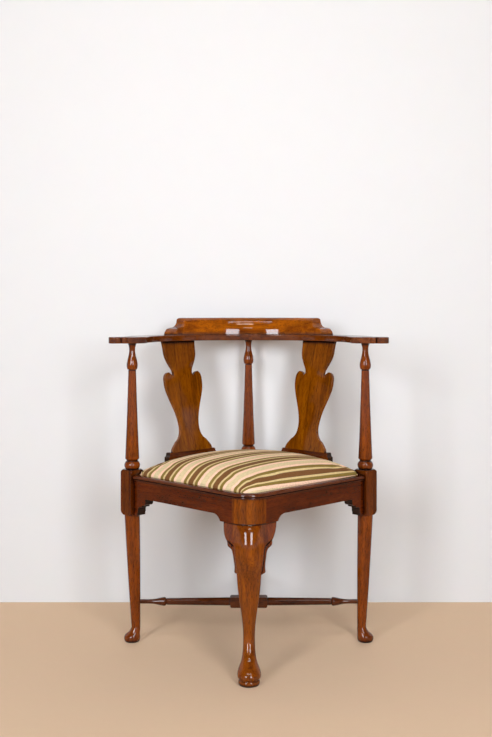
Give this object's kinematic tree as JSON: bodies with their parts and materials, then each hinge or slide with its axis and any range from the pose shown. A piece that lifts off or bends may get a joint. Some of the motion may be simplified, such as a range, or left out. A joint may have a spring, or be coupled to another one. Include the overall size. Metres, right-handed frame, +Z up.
{
  "type": "corner chair",
  "caption": "Wooden corner chair with a square seat set on one corner, turned posts, vase splats, a horseshoe arm with raised crest, crossed stretchers and a lift-out striped seat.",
  "frame": {"origin": "on the floor, at the middle of the chair's bounding box", "axes": "+Z up, -Y towards the front corner and its leg, +X to the right seen from the front"},
  "size_m": [0.7, 0.6587, 0.8135],
  "materials": {
    "mahogany_turned": "french polished mahogany, turned",
    "mahogany_leg": "french polished mahogany, carved",
    "mahogany_rail": "french polished mahogany",
    "mahogany_moulding": "french polished mahogany, moulded",
    "mahogany_arm": "french polished mahogany, glossy",
    "mahogany_splat": "french polished mahogany, flat sawn",
    "beech": "planed beech, unfinished",
    "screw_steel": "dull steel wood screws",
    "tack_steel": "blued steel tacks",
    "jute_webbing": "woven jute",
    "hessian": "plain woven hessian",
    "stuffing": "hair and wadding",
    "striped_cover": "woven stripe, cream, olive and brown",
    "black_lining": "black cotton lining"
  },
  "bodies": {
    "chair_frame": {"post_left": "mahogany_turned", "post_right": "mahogany_turned", "post_back": "mahogany_turned", "side_stretcher": "mahogany_turned", "long_stretcher": "mahogany_turned", "front_leg": "mahogany_leg", "knee_ear_left": "mahogany_leg", "knee_ear_right": "mahogany_leg", "seat_rail_front_left": "mahogany_rail", "seat_rail_front_right": "mahogany_rail", "seat_rail_back_left": "mahogany_rail", "seat_rail_back_right": "mahogany_rail", "splat_shoe_left": "mahogany_rail", "splat_shoe_right": "mahogany_rail", "lip_moulding_front_left": "mahogany_moulding", "lip_moulding_front_right": "mahogany_moulding", "lip_moulding_back_left": "mahogany_moulding", "lip_moulding_back_right": "mahogany_moulding", "arm_left": "mahogany_arm", "arm_right": "mahogany_arm", "crest_rail": "mahogany_arm", "splat_left": "mahogany_splat", "splat_right": "mahogany_splat", "corner_block_back": "beech", "corner_block_front": "beech", "corner_block_left": "beech", "corner_block_right": "beech", "corner_block_screws": "screw_steel", "crest_screws": "screw_steel"},
    "slip_seat": {"seat_frame_front_left": "beech", "seat_frame_front_right": "beech", "seat_frame_back_left": "beech", "seat_frame_back_right": "beech", "seat_webbing": "jute_webbing", "seat_hessian": "hessian", "seat_pad": "stuffing", "seat_cover": "striped_cover", "seat_dust_cover": "black_lining", "dust_cover_tacks": "tack_steel"}
  },
  "joints": [
    {"name": "seat_lift", "type": "slide", "parent": "chair_frame", "child": "slip_seat", "axis": [0, 0, 1], "range_m": [0, 0.15]}
  ]
}
